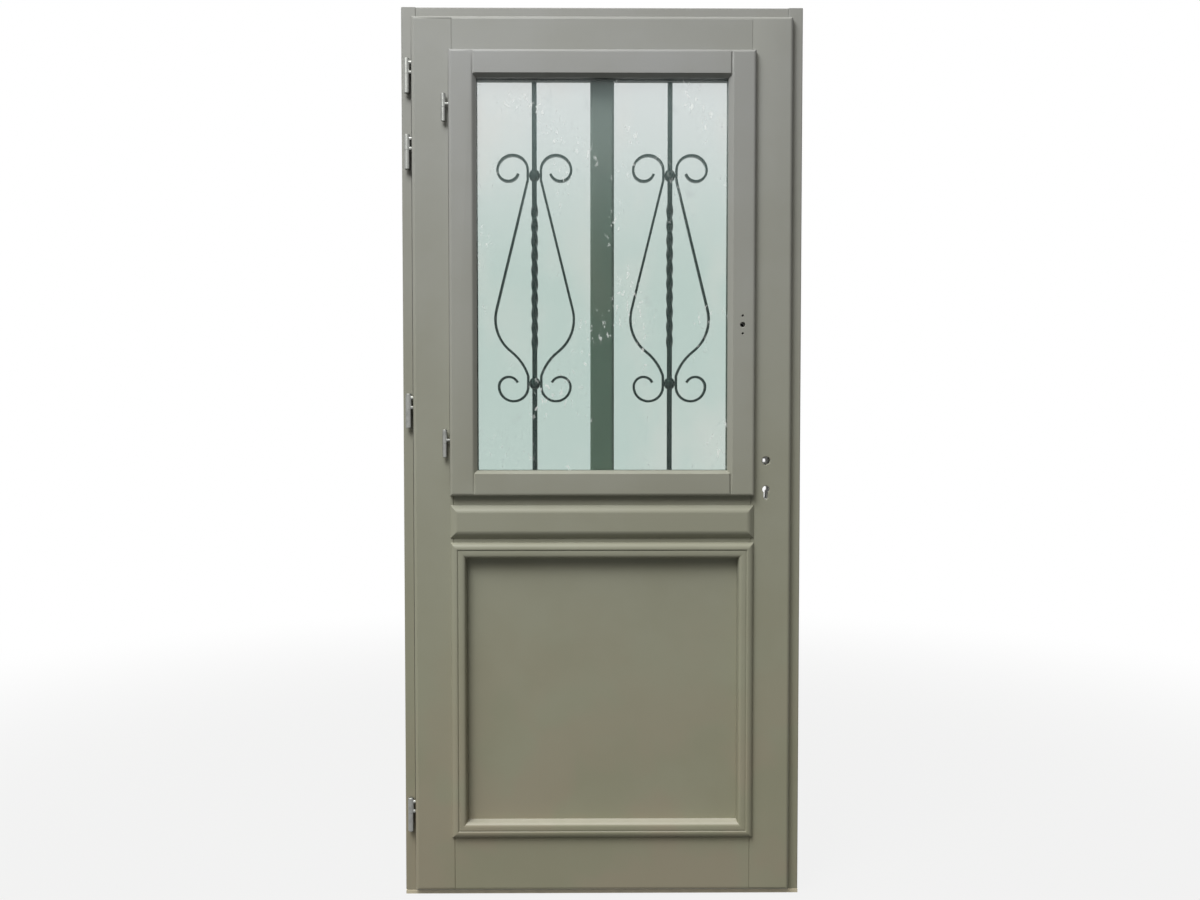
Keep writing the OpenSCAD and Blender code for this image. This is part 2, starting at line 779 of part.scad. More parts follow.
// Door lock
module lock_case() {
    color("#8f908c") difference() {
        union() {
            box([case_back, lock_mid_y - case_thickness/2, case_low],
                [leaf_body_half, lock_mid_y + case_thickness/2, case_high]);
            box([leaf_body_half - forend, lock_mid_y - forend_width/2, case_low - forend_over],
                [leaf_body_half, lock_mid_y + forend_width/2, case_high + forend_over]);
        }
        box([case_back + case_wall, lock_mid_y - case_thickness/2 + case_wall, case_low + case_wall],
            [leaf_body_half - forend, lock_mid_y + case_thickness/2 - case_wall, case_high - case_wall]);
        for (z = [latch_z, dead_z]) bolt_box(z, leaf_body_half - forend - 1, leaf_body_half + 1, bolt_play);
        rod_y(lock_mid_y - 20, lock_mid_y + 20, lock_x, lock_z, follower_radius - 1 + bolt_play);
        cylinder_hole(lock_mid_y - 20, lock_mid_y + 20);
    }
}
module bolt_box(z, x0, x1, grow) {
    box([x0, lock_mid_y - bolt_thickness/2 - grow, z - latch_height/2 - grow],
        [x1, lock_mid_y + bolt_thickness/2 + grow, z + latch_height/2 + grow]);
}
// Both bolts are drawn back at rest
module latch_bolt() {
    color("#b9b08a") difference() {
        bolt_box(latch_z, case_back + case_wall + 6, leaf_body_half - 0.5, 0);
        along_z(latch_z - latch_height, latch_z + latch_height) polygon([[leaf_body_half - 12,
            lock_mid_y - 6],
            [leaf_body_half, lock_mid_y - 6], [leaf_body_half, lock_mid_y + 4], [leaf_body_half - 0.5,
            lock_mid_y + 4],
            [leaf_body_half - 12, lock_mid_y - 5]]);
    }
}
module dead_bolt() {
    color("#b9b08a") bolt_box(dead_z, case_back + case_wall + 6, leaf_body_half - 0.5, 0);
}
module lock_follower() {
    inner = case_thickness/2 - case_wall - bolt_play;
    color("#7c7d79") difference() {
        union() {
            rod_y(lock_mid_y - inner, lock_mid_y + inner, lock_x, lock_z, follower_radius + 3);
            rod_y(lock_mid_y - case_thickness/2, lock_mid_y + case_thickness/2, lock_x, lock_z,
                follower_radius - 1);
        }
        box([lock_x - 4, lock_mid_y - 20, lock_z - 4], [lock_x + 4, lock_mid_y + 20, lock_z + 4]);
    }
}

// Light lock
module light_keep_plate(grow) {
    box([opening_half - grow, light_lock_y - 8 - grow, light_bolt_z - 25 - grow],
        [opening_half + 2 + grow, light_lock_y + 8 + grow, light_bolt_z + 25 + grow]);
}
module light_keep() {
    color("#a9aaa6") difference() {
        light_keep_plate(0);
        box([opening_half - 1, light_lock_y - 5, light_bolt_z - light_bolt_height/2 - 2],
            [opening_half + 5, light_lock_y + 5, light_bolt_z + light_bolt_height/2 + 2]);
    }
}
module light_bolt_box(x0, x1, grow) {
    box([x0, light_lock_y - light_bolt_thickness/2 - grow, light_bolt_z - light_bolt_height/2 - grow],
        [x1, light_lock_y + light_bolt_thickness/2 + grow, light_bolt_z + light_bolt_height/2 + grow]);
}
module light_lock_case() {
    w = 1.5;
    color("#8f908c") difference() {
        union() {
            box([light_case_back, light_lock_y - light_case_thickness/2, light_lock_z - light_case_drop],
                [light_body_half, light_lock_y + light_case_thickness/2, light_lock_z + light_case_height]);
            box([light_body_half - 2.5, light_lock_y - light_case_thickness/2,
                light_lock_z - light_forend_low],
                [light_body_half, light_lock_y + light_case_thickness/2, light_lock_z + light_forend_high]);
        }
        box([light_case_back + w, light_lock_y - light_case_thickness/2 + w,
            light_lock_z - light_case_drop + w],
            [light_body_half - 2.5, light_lock_y + light_case_thickness/2 - w,
            light_lock_z + light_case_height - w]);
        light_bolt_box(light_body_half - 4, light_body_half + 1, bolt_play);
        rod_y(light_lock_y - 20, light_lock_y + 20, light_lock_x, light_lock_z,
            light_follower_radius - 1 + bolt_play);
    }
}
module light_bolt() {
    color("#b9b08a") light_bolt_box(light_case_back + 2.5, light_body_half - 0.5, 0);
}
module light_follower() {
    inner = light_case_thickness/2 - 1.5 - bolt_play;
    color("#7c7d79") difference() {
        union() {
            rod_y(light_lock_y - inner, light_lock_y + inner, light_lock_x, light_lock_z,
                light_follower_radius + 1);
            rod_y(light_lock_y - light_case_thickness/2, light_lock_y + light_case_thickness/2,
                light_lock_x,
                light_lock_z, light_follower_radius - 1);
        }
        box([light_lock_x - 3.5, light_lock_y - 20, light_lock_z - 3.5],
            [light_lock_x + 3.5, light_lock_y + 20, light_lock_z + 3.5]);
    }
}

// Grille
module grille_bar(x) {
    h = bar_side/2;
    color("#3f4845") {
        box([x - h, grille_y - h, clear_low - bar_seat + 2], [x + h, grille_y + h, twist_low]);
        box([x - h, grille_y - h, twist_high], [x + h, grille_y + h, clear_high + bar_seat - 2]);
        translate([x, grille_y, twist_low]) linear_extrude(twist_high - twist_low,
            twist = 180*twist_half_turns,
            slices = 14*twist_half_turns, $fn = 4) square(bar_side, center = true);
    }
}
module grille_bar_left() {
    grille_bar(-bar_x);
}
module grille_bar_right() {
    grille_bar(bar_x);
}
module grille_collar(x, z) {
    r = collar_radius;
    color("#3f4845") translate([x, grille_y, z]) difference() {
        rotate_extrude() polygon([[0, -r], [0.62*r, -r], [0.86*r, -0.7*r], [r, -0.25*r], [r, 0.25*r],
            [0.86*r, 0.7*r],
            [0.62*r, r], [0, r]]);
        translate([-bar_side/2 - fit, -bar_side/2 - fit, -r - 1]) cube([bar_side + 2*fit,
            bar_side + 2*fit, 2*r + 2]);
    }
}
// Points on an arc in the plane of the grille, without its first point
function arc_points(mid, r, a0, a1, n) = [for (i = [1:n])
    mid + r*[cos(a0 + (a1 - a0)*i/n), sin(a0 + (a1 - a0)*i/n)]];
// The points at one side of a bar that follows a path
function path_side(path, reach) = [for (i = [0:len(path) - 1])
    let (a = path[max(i - 1, 0)], b = path[min(i + 1, len(path) - 1)])
    path[i] + reach*[a[1] - b[1], b[0] - a[0]]/norm(b - a)];
function turned_round(list) = [for (i = [len(list) - 1:-1:0]) list[i]];
// The scroll on the left of a bar at x = 0, a flat bar bent on edge, heights from the upper collar.
// Its sizes are shares of the height between the collars.
module scroll_shape() {
    span = collar_high - collar_low;
    start = -collar_radius - scroll_thickness/2 - fit;
    curl = 0.0727*span;
    curl_inner = 0.0511*span;
    foot = 0.0707*span;
    foot_inner = 0.0472*span;
    rise = 0.0236*span;
    drop = 1.0157*span;
    line_end = [start - 0.1523*span, -0.6444*span];
    lean = atan2(start - line_end[0], -line_end[1] - rise);
    bulge = 0.1965*span;
    bulge_turn = 52;
    neck_turn = 18;
    mid = line_end + bulge*[cos(lean), -sin(lean)];
    bulge_end = mid - bulge*[cos(bulge_turn), sin(bulge_turn)];
    neck = (start - bulge_end[0])/(cos(neck_turn) - cos(bulge_turn));
    neck_mid = bulge_end - neck*[cos(bulge_turn), sin(bulge_turn)];
    path = concat(
        arc_points([start - 2*curl + curl_inner, rise], curl_inner, 350, 180, 20),
        arc_points([start - curl, rise], curl, 180, 0, 24),
        [[start, -0.7*rise], [start, -rise], line_end],
        arc_points(mid, bulge, 180 - lean, 180 + bulge_turn, 14),
        arc_points(neck_mid, neck, bulge_turn, neck_turn, 6),
        [[start, -drop]],
        arc_points([start - foot, -drop], foot, 360, 180, 24),
        arc_points([start - 2*foot + foot_inner, -drop], foot_inner, 180, 25, 18));
    color("#3f4845") along_y(-bar_side/2, bar_side/2) polygon(concat(path_side(path, scroll_thickness/2),
        turned_round(path_side(path, -scroll_thickness/2))));
}
module scroll_left_a() {
    translate([-bar_x, grille_y, collar_high]) scroll_shape();
}
module scroll_left_b() {
    translate([-bar_x, grille_y, collar_high]) mirror([1, 0, 0]) scroll_shape();
}
module scroll_right_a() {
    translate([bar_x, grille_y, collar_high]) scroll_shape();
}
module scroll_right_b() {
    translate([bar_x, grille_y, collar_high]) mirror([1, 0, 0]) scroll_shape();
}

threshold();
jamb_hinge_side();
jamb_lock_side();
frame_head();
frame_seal();
lock_keep();
door_hinge_lower(0);  // door_hinge_lower_1
door_hinge_lower(1);  // door_hinge_lower_2
door_hinge_lower(2);  // door_hinge_lower_3
door_hinge_lower(3);  // door_hinge_lower_4
door_hinge_upper(0);  // door_hinge_upper_1
door_hinge_upper(1);  // door_hinge_upper_2
door_hinge_upper(2);  // door_hinge_upper_3
door_hinge_upper(3);  // door_hinge_upper_4
leaf_stile_hinge_side();
leaf_stile_lock_side();
leaf_rail_top();
leaf_rail_middle();
leaf_rail_bottom();
leaf_panel();
rail_board();
moulding_top();
moulding_bottom();
moulding_left();
moulding_right();
mullion();
weather_bar();
light_seal();
grille_bar_left();
grille_bar_right();
grille_collar(-bar_x, collar_high);  // grille_collar_left_top
grille_collar(-bar_x, collar_low);  // grille_collar_left_low
grille_collar(bar_x, collar_high);  // grille_collar_right_top
grille_collar(bar_x, collar_low);  // grille_collar_right_low
scroll_left_a();
scroll_left_b();
scroll_right_a();
scroll_right_b();
lock_case();
latch_bolt();
dead_bolt();
lock_follower();
light_keep();
light_hinge_lower(0);  // light_hinge_lower_1
light_hinge_lower(1);  // light_hinge_lower_2
light_hinge_upper(0);  // light_hinge_upper_1
light_hinge_upper(1);  // light_hinge_upper_2
light_stile_hinge_side();
light_stile_lock_side();
light_rail_top();
light_rail_bottom();
glass_inner();
glass_outer();
glass_spacer();
glazing_beads();
light_lock_case();
light_bolt();
light_follower();
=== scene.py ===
"""Looks for a glazed timber front door in its frame: joinery, iron grille, panes and plated hinges."""
import json
import math

import bmesh
import bpy
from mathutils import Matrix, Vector

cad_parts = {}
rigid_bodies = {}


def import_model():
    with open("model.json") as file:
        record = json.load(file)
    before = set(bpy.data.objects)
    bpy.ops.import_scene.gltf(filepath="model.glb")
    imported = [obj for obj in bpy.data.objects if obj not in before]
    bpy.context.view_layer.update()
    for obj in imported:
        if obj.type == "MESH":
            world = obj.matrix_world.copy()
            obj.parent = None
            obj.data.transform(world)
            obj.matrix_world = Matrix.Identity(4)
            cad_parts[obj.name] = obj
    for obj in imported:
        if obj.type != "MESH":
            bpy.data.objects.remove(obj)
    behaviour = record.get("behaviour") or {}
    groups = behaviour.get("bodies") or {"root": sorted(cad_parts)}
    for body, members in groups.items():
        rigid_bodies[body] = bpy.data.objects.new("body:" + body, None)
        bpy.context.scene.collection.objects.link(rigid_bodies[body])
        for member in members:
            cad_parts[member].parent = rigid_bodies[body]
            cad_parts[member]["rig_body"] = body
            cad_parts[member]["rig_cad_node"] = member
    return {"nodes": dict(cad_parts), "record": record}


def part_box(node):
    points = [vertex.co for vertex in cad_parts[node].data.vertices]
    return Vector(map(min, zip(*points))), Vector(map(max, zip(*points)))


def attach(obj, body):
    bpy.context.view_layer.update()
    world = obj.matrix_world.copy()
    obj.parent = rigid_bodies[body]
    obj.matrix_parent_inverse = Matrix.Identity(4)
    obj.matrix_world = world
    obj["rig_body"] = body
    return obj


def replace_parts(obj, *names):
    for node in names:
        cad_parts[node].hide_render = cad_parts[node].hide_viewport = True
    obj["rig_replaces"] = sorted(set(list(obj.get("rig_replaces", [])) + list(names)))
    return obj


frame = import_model()

bl_info = {
    "name": "Glazed front door",
    "version": (1, 0, 0),
    "blender": (4, 5, 0),
    "location": "View3D > Sidebar > Door",
    "description": "Dresses a glazed timber door and its frame",
    "category": "Object",
}

NODES = frame["nodes"]
BODY_OF = {n: b for b, ns in frame["record"]["behaviour"]["bodies"].items() for n in ns}
SLOT_OF = {s["node"]: s["material_slot"] for s in frame["record"]["subparts"]}
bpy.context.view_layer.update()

# How the edges of the solids are told apart, in metres and radians
WELD = 0.00001
FLAT = math.radians(0.4)
SHARP = math.radians(25)
LEVEL = 0.0002
MITRE_SLACK = 0.0003
SHORT = 0.03
RAIL_LENGTH = 0.3
POST_LENGTH = 0.5
SILL_ARRIS = 0.002
SILL_FOOT = 0.004
BAR_ARRIS = 0.002

# Where the holes lie around a follower: reach sideways, drop of their middle, reach up and down
LOCK_HOLES = (0.015, 0.04, 0.08)
LIGHT_HOLES = (0.012, 0.0, 0.04)

# Section of the panel moulding: shares of its width, and depths behind its front
BAND_START = 0.5
BAND_SPAN = 0.47
BAND_ENDS = (-0.02, 0.999)
BAND_CREST = 0.001
BAND_FOOT = 0.002
BACK_EDGE = 0.003
QUIRK_DEPTH = 0.004
QUIRK_SHALLOW = 0.0018
QUIRK_WIDTH = 0.0025

# Angles in degrees under which faces shade as one
SMOOTH_JOINERY = 30.0
SMOOTH_METAL = 35.0
SMOOTH_ROUND = 40.0

# Tones that go into the finishes; the first five multiply the paint, and the first four are painted
# light: a bluer, paler tint for the top of the door and a yellower, dimmer one for low down
PAINTED_TOP_LIGHT_DARK = (0.99, 0.98, 1.13)
PAINTED_TOP_LIGHT_PALE = (1.045, 1.035, 1.22)
PAINTED_LOW_LIGHT_DARK = (0.985, 0.96, 0.85)
PAINTED_LOW_LIGHT_PALE = (1.04, 1.02, 0.92)
REDDISH = (1.12, 0.965, 0.90)
EARTH = (0.30, 0.26, 0.19)
# About one and a half times the leaf paint: painted highlight laid on upward faces low on the door
PAINTED_LEDGE_HIGHLIGHT = (0.405, 0.39, 0.325)
RUST = (0.11, 0.055, 0.03)
RUBBER_DARK = (0.025, 0.025, 0.024)
RUBBER_WORN = (0.05, 0.05, 0.047)
LOCK_STEEL = (0.40, 0.40, 0.38)
BOLT_METAL = (0.62, 0.56, 0.40)
SPACER_METAL = (0.18, 0.19, 0.18)
# Painted shade: the panes take this darker tint low down, fading out towards the top
PAINTED_SHADE_GLASS = (0.910, 0.950, 0.932)
WARM_GLASS = (1.02, 0.99, 0.975)
SMUDGE = (0.80, 0.82, 0.815)
GLASS_GLOSS = (0.3, 0.3, 0.3)
# Colour of the pale film on the panes: partly a dusty film, partly painted haze
DUST_AND_HAZE_TINT = (0.66, 0.84, 0.81)
CHALK = (0.94, 0.96, 0.95)
FLOOR = (0.16, 0.16, 0.15)
WHITE = (1.0, 1.0, 1.0)
DIM_SKY = (0.96, 0.98, 1.0)

# Camera: place in metres, tilt down and turn in degrees, lens in millimetres
EYE = (-0.0245, -2.654, 1.1927)
TILT = 1.99
TURN = -0.417
LENS = 32.10115
SENSOR = 36.0


# Properties

class DoorSizes(bpy.types.PropertyGroup):
    leaf_arris: bpy.props.FloatProperty(
        name="Leaf arris", description="Radius of the leaf's outer edges",
        default=0.0085, unit="LENGTH")
    light_arris: bpy.props.FloatProperty(
        name="Light arris", description="Radius of the opening light's outer edges",
        default=0.008, unit="LENGTH")
    trim_arris: bpy.props.FloatProperty(
        name="Trim arris", description="Radius of the board's edges",
        default=0.006, unit="LENGTH")
    hole_rim: bpy.props.FloatProperty(
        name="Hole rim", description="Worn edge of the spindle and cylinder holes",
        default=0.0022, unit="LENGTH")
    screw_rim: bpy.props.FloatProperty(
        name="Screw hole rim", description="Worn edge of the holes in the light",
        default=0.0014, unit="LENGTH")
    band_power: bpy.props.FloatProperty(
        name="Band fullness", description="How full the inner band of the moulding is",
        default=5.0, min=2.0)
    joint_line: bpy.props.FloatProperty(
        name="Leaf joint line", description="Chamfer where the leaf's rails meet stiles",
        default=0.0011, unit="LENGTH")
    light_joint: bpy.props.FloatProperty(
        name="Light joint line", description="Chamfer where the light's rails meet stiles",
        default=0.004, unit="LENGTH")
    frame_arris: bpy.props.FloatProperty(
        name="Frame arris", description="Radius of the frame's edges",
        default=0.003, unit="LENGTH")


class DoorColours(bpy.types.PropertyGroup):
    leaf: bpy.props.FloatVectorProperty(
        name="Leaf paint", description="Colour of the leaf",
        size=3, subtype="COLOR", default=(0.27, 0.274, 0.222))
    light: bpy.props.FloatVectorProperty(
        name="Light paint", description="Colour of the opening light",
        size=3, subtype="COLOR", default=(0.275, 0.279, 0.236))
    frame: bpy.props.FloatVectorProperty(
        name="Frame paint", description="Colour of the frame",
        size=3, subtype="COLOR", default=(0.265, 0.267, 0.216))
    mullion: bpy.props.FloatVectorProperty(
        name="Mullion paint", description="Colour of the mullion",
        size=3, subtype="COLOR", default=(0.305, 0.343, 0.274))
    iron: bpy.props.FloatVectorProperty(
        name="Iron", description="Colour of the grille",
        size=3, subtype="COLOR", default=(0.014, 0.034, 0.033))
    zinc: bpy.props.FloatVectorProperty(
        name="Plating", description="Colour of the hinges",
        size=3, subtype="COLOR", default=(0.29, 0.295, 0.28))
    sill: bpy.props.FloatVectorProperty(
        name="Threshold", description="Colour of the threshold",
        size=3, subtype="COLOR", default=(0.52, 0.465, 0.34))
    pane: bpy.props.FloatVectorProperty(
        name="Pane", description="Tint of one pane",
        size=3, subtype="COLOR", default=(0.940, 0.948, 0.948))


def sizes():
    return bpy.context.scene.door_sizes


def colours():
    return bpy.context.scene.door_colours


# Shader maths

def plug(tree, item, socket):
    if isinstance(item, Value):
        tree.links.new(item.socket, socket)
    else:
        socket.default_value = item


def make(tree, kind, settings=None, plugs=None):
    """One node, with its settings and with its sockets plugged by name or number."""
    made = tree.nodes.new(kind)
    for key, value in (settings or {}).items():
        setattr(made, key, value)
    for key, item in (plugs or {}).items():
        plug(tree, item, made.inputs[key])
    return Outputs(tree, made)


class Outputs:
    """The output sockets of a node."""

    def __init__(self, tree, made):
        self.tree = tree
        self.made = made

    def get(self, name):
        return Value(self.tree, self.made.outputs[name])


class Value:
    """A socket that can be used in expressions."""

    def __init__(self, tree, socket):
        self.tree = tree
        self.socket = socket

    def math(self, operation, first, second):
        plugs = {0: first, 1: second}
        return make(self.tree, "ShaderNodeMath", {"operation": operation}, plugs).get(0)

    def __add__(self, other):
        return self.math("ADD", self, other)

    __radd__ = __add__

    def __mul__(self, other):
        return self.math("MULTIPLY", self, other)

    __rmul__ = __mul__

    def __sub__(self, other):
        return self.math("SUBTRACT", self, other)

    def __rsub__(self, other):
        return self.math("SUBTRACT", other, self)

    def clip(self):
        return self.math("MINIMUM", self.math("MAXIMUM", self, 0.0), 1.0)

    def between(self, low, high):
        """0 below low, 1 above high, smooth between."""
        settings = {"interpolation_type": "SMOOTHSTEP"}
        plugs = {"Value": self, "From Min": low, "From Max": high}
        return make(self.tree, "ShaderNodeMapRange", settings, plugs).get("Result")


def full(colour):
    """A colour for a socket: a link as it is, three numbers with their alpha."""
    return colour if isinstance(colour, Value) else (*colour, 1.0)


def seen_directly(tree):
    """1 where the camera, a mirror or a pane looks, 0 where light falls on the door."""
    rays = make(tree, "ShaderNodeLightPath")
    camera, mirrored = rays.get("Is Camera Ray"), rays.get("Is Glossy Ray")
    return (camera + mirrored + rays.get("Is Transmission Ray")).clip()


class Finish:
    """One material with its node tree."""

    def __init__(self, name):
        self.material = bpy.data.materials.new(name)
        self.material.use_nodes = True
        self.tree = self.material.node_tree
        self.tree.nodes.clear()
        self.output = make(self.tree, "ShaderNodeOutputMaterial").made
        self.spots = self.node("ShaderNodeTexCoord")
        self.place = self.spots.get("Object")

    def node(self, kind, settings=None, **inputs):
        plugs = {key.replace("_", " "): item for key, item in inputs.items()}
        return make(self.tree, kind, settings, plugs)

    def mapped(self, scale):
        return self.node("ShaderNodeMapping", None, Vector=self.place, Scale=scale).get("Vector")

    def noise(self, scale, detail=4.0, stretch=(1, 1, 1), roughness=0.55):
        return self.node("ShaderNodeTexNoise", None, Vector=self.mapped(stretch), Scale=scale,
                         Detail=detail, Roughness=roughness).get("Fac")

    def axis(self, name):
        return self.node("ShaderNodeSeparateXYZ", None, Vector=self.place).get(name)

    def upward(self):
        """How far a face looks up: 1 on a ledge, 0 on a front."""
        return self.node("ShaderNodeSeparateXYZ", None, Vector=self.spots.get("Normal")).get("Z")

    def mix(self, factor, a, b):
        """A colour between two colours."""
        plugs = {0: factor, 6: full(a), 7: full(b)}
        return make(self.tree, "ShaderNodeMix", {"data_type": "RGBA"}, plugs).get(2)

    def bump(self, height, strength, distance):
        return self.node("ShaderNodeBump", None, Strength=strength, Distance=distance,
                         Height=height).get("Normal")

    def clear(self, colour):
        return self.node("ShaderNodeBsdfTransparent", None, Color=full(colour)).get("BSDF")

    def matt(self, colour):
        return self.node("ShaderNodeBsdfDiffuse", None, Color=full(colour)).get("BSDF")

    def blend(self, factor, a, b):
        """One shader laid over another."""
        return make(self.tree, "ShaderNodeMixShader", None, {0: factor, 1: a, 2: b}).get(0)

    def finish(self, shader):
        plug(self.tree, shader, self.output.inputs["Surface"])

    def surface(self, **inputs):
        self.finish(self.node("ShaderNodeBsdfPrincipled", None, **inputs).get("BSDF"))


def scaled(colour, factor):
    return tuple(c * factor for c in colour)


def tinted(colour, tint):
    return tuple(c * t for c, t in zip(colour, tint))


# Finishes

def paint(name, colour, grain):
    """Brushed satin paint on wood; grain is the axis the brush followed."""
    f = Finish(name)
    along = {"X": (0.05, 1, 1), "Z": (1, 1, 0.05)}[grain]
    strokes = f.noise(900.0, 3.0, along)
    fibres = f.noise(260.0, 5.0, along)
    clouds = f.noise(4.5, 3.0).between(0.35, 0.65)
    specks = f.noise(420.0, 2.0).between(0.70, 0.78)
    height = f.axis("Z")
    grime = ((1 - height.between(0.02, 0.55)) * f.noise(16.0, 4.0) * 0.9).clip()
    blotch = f.noise(5.5, 2.0).between(0.43, 0.60) * (1 - height.between(0.1, 0.85))
    # Painted highlight: upward faces below about a metre get a paler, patchy copy of the paint
    ledges = f.upward().between(0.30, 0.90) * (1 - height.between(0.15, 1.0))
    dust_and_ledge_highlight = (ledges * (f.noise(22.0, 4.0) * 0.6 + 0.6)).clip()
    painted_top_light = f.mix(clouds, tinted(colour, PAINTED_TOP_LIGHT_DARK), tinted(colour, PAINTED_TOP_LIGHT_PALE))
    painted_low_light = f.mix(clouds, tinted(colour, PAINTED_LOW_LIGHT_DARK), tinted(colour, PAINTED_LOW_LIGHT_PALE))
    # Painted light: the paint turns bluer and paler towards the top and yellower low down, as light
    # falling from above would make it
    tone = f.mix(height.between(0.2, 2.3), painted_low_light, painted_top_light)
    tone = f.mix(blotch * 0.62, tone, tinted(colour, REDDISH))
    tone = f.mix(grime * 0.35, tone, EARTH)
    # Lays the painted highlight on the low upward faces
    tone = f.mix(dust_and_ledge_highlight, tone, PAINTED_LEDGE_HIGHLIGHT)
    tone = f.mix(specks * 0.16, tone, scaled(colour, 0.6))
    rough = 0.40 + strokes * 0.10 + grime * 0.15
    bump = f.bump(strokes * 0.5 + fibres, 0.16, 0.0006)
    f.surface(Base_Color=tone, Roughness=rough, Normal=bump, Specular_IOR_Level=0.25)
    return f.material


def both_ways(name, colour):
    """One paint, brushed upright and across."""
    return paint(name + " upright", colour, "Z"), paint(name + " across", colour, "X")


def plated(name, colour, rough=0.34):
    """Scratched and stained plating."""
    f = Finish(name)
    scratches = f.noise(700.0, 3.0, (1, 1, 0.1))
    stain = f.noise(60.0, 4.0).between(0.5, 0.75)
    tone = f.mix(stain * 0.45, colour, scaled(colour, 0.55))
    bump = f.bump(scratches, 0.12, 0.0003)
    f.surface(Base_Color=tone, Metallic=0.9, Roughness=rough + scratches * 0.16, Normal=bump)
    return f.material


def ironwork(name, colour):
    """Painted, pitted iron with a little rust."""
    f = Finish(name)
    pits = f.noise(190.0, 5.0)
    rust = f.noise(38.0, 5.0).between(0.66, 0.76)
    tone = f.mix(rust * 0.5, colour, RUST)
    bump = f.bump(pits, 0.3, 0.0008)
    f.surface(Base_Color=tone, Roughness=0.24 + pits * 0.14, Normal=bump, Specular_IOR_Level=0.35)
    return f.material


def brushed_sill(name, colour):
    """Dusty metal, brushed along its length."""
    f = Finish(name)
    lines = f.noise(1100.0, 2.0, (0.02, 1, 1))
    dust_and_ledge_highlight = f.noise(30.0, 4.0).between(0.45, 0.7)
    tone = f.mix(dust_and_ledge_highlight * 0.5, colour, scaled(colour, 0.8))
    bump = f.bump(lines, 0.1, 0.0003)
    f.surface(Base_Color=tone, Metallic=0.25, Roughness=0.42 + lines * 0.15, Normal=bump)
    return f.material


def rubber(name):
    """Matt black seal."""
    f = Finish(name)
    grain = f.noise(500.0, 3.0)
    tone = f.mix(f.noise(40.0).between(0.4, 0.7) * 0.5, RUBBER_DARK, RUBBER_WORN)
    bump = f.bump(grain, 0.15, 0.0004)
    f.surface(Base_Color=tone, Roughness=0.6 + grain * 0.15, Normal=bump)
    return f.material


def pane_glass(name, tint, marks):
    """A tinted pane, warmer in clouds, with painted shade that darkens it low down, a pale film that
    is partly dusty and partly painted haze growing towards the top, smudges, streaks and splashes.
    """
    f = Finish(name)
    height = f.axis("Z")
    clouds = f.noise(4.2, 3.0, (1, 0, 0.55)).between(0.46, 0.70)
    smears = f.noise(21.0, 5.0, (1, 0, 0.7)).between(0.62, 0.78)
    spots = f.noise(90.0, 2.0, (1, 0, 1)).between(0.72, 0.77)
    streaks = f.noise(34.0, 3.0, (1, 0, 0.07)).between(0.60, 0.80)
    patches = f.noise(7.5, 2.0, (1, 0, 0.8)).between(0.53, 0.64)
    splashes = patches * f.noise(105.0, 6.0, (1, 0, 0.55)).between(0.56, 0.64)
    # Partly a dusty film with streaks, partly painted light: the pale film grows towards the top of
    # the panes as a painted haze that lifts the bars and mullion behind
    dust_and_painted_haze = (height.between(1.50, 2.05) * 0.045 + streaks * 0.012 + 0.006).clip()
    # Painted shade: the panes are tinted darker low down, fading out between about 1.45 and 2 m
    painted_low_shade = f.clear(tinted(tint, PAINTED_SHADE_GLASS))
    body = f.blend(height.between(1.45, 2.02), painted_low_shade, f.clear(tint))
    body = f.blend(clouds * 0.3, body, f.clear(tinted(tint, WARM_GLASS)))
    body = f.blend(((smears + spots) * 0.20).clip(), body, f.clear(SMUDGE))
    shine = f.node("ShaderNodeBsdfGlossy", None, Color=full(GLASS_GLOSS), Roughness=0.02).get("BSDF")
    slant = f.node("ShaderNodeLayerWeight", None, Blend=0.5).get("Facing")
    edge = slant * slant * slant * slant * slant * 0.6 + 0.035
    body = f.blend(dust_and_painted_haze, f.blend(edge, body, shine), f.matt(DUST_AND_HAZE_TINT))
    f.finish(f.blend((splashes * marks).clip(), body, f.matt(CHALK)))
    return f.material


# Pieces from the solids

def alone(obj):
    bpy.ops.object.select_all(action="DESELECT")
    obj.select_set(True)
    bpy.context.view_layer.objects.active = obj


def coat(obj, material):
    obj.data.materials.clear()
    obj.data.materials.append(material)


def merged_copy(node):
    """A welded copy of a solid, open in edit mode, with flat faces made whole."""
    alone(NODES[node])
    bpy.ops.object.duplicate()
    piece = bpy.context.active_object
    piece.name = node + "_dressed"
    piece.data.name = piece.name
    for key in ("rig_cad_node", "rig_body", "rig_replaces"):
        if key in piece:
            del piece[key]
    bpy.ops.object.mode_set(mode="EDIT")
    bpy.ops.mesh.select_mode(type="EDGE")
    bpy.ops.mesh.select_all(action="SELECT")
    bpy.ops.mesh.remove_doubles(threshold=WELD)
    bpy.ops.mesh.select_all(action="SELECT")
    bpy.ops.mesh.dissolve_limited(angle_limit=FLAT)
    return piece


def long_edge(a, b, least=SHORT):
    return (a - b).length > least


def on(value, target, slack=LEVEL):
    return abs(value - target) < slack


def both(a, b, axis, target):
    return on(a[axis], target) and on(b[axis], target)


def ease(piece, width, wanted, segments=3):
    """Rounds the sharp edges that wanted(a, b) picks from their end points."""
    bm = bmesh.from_edit_mesh(piece.data)
    count = 0
    for edge in bm.edges:
        sharp = len(edge.link_faces) == 2 and edge.calc_face_angle(0.0) > SHARP
        edge.select = sharp and edge.is_convex and wanted(edge.verts[0].co, edge.verts[1].co)
        count += edge.select
    bmesh.update_edit_mesh(piece.data)
    if count:
        bpy.ops.mesh.bevel(offset=width, segments=segments, affect="EDGES", clamp_overlap=False,
                           loop_slide=False)


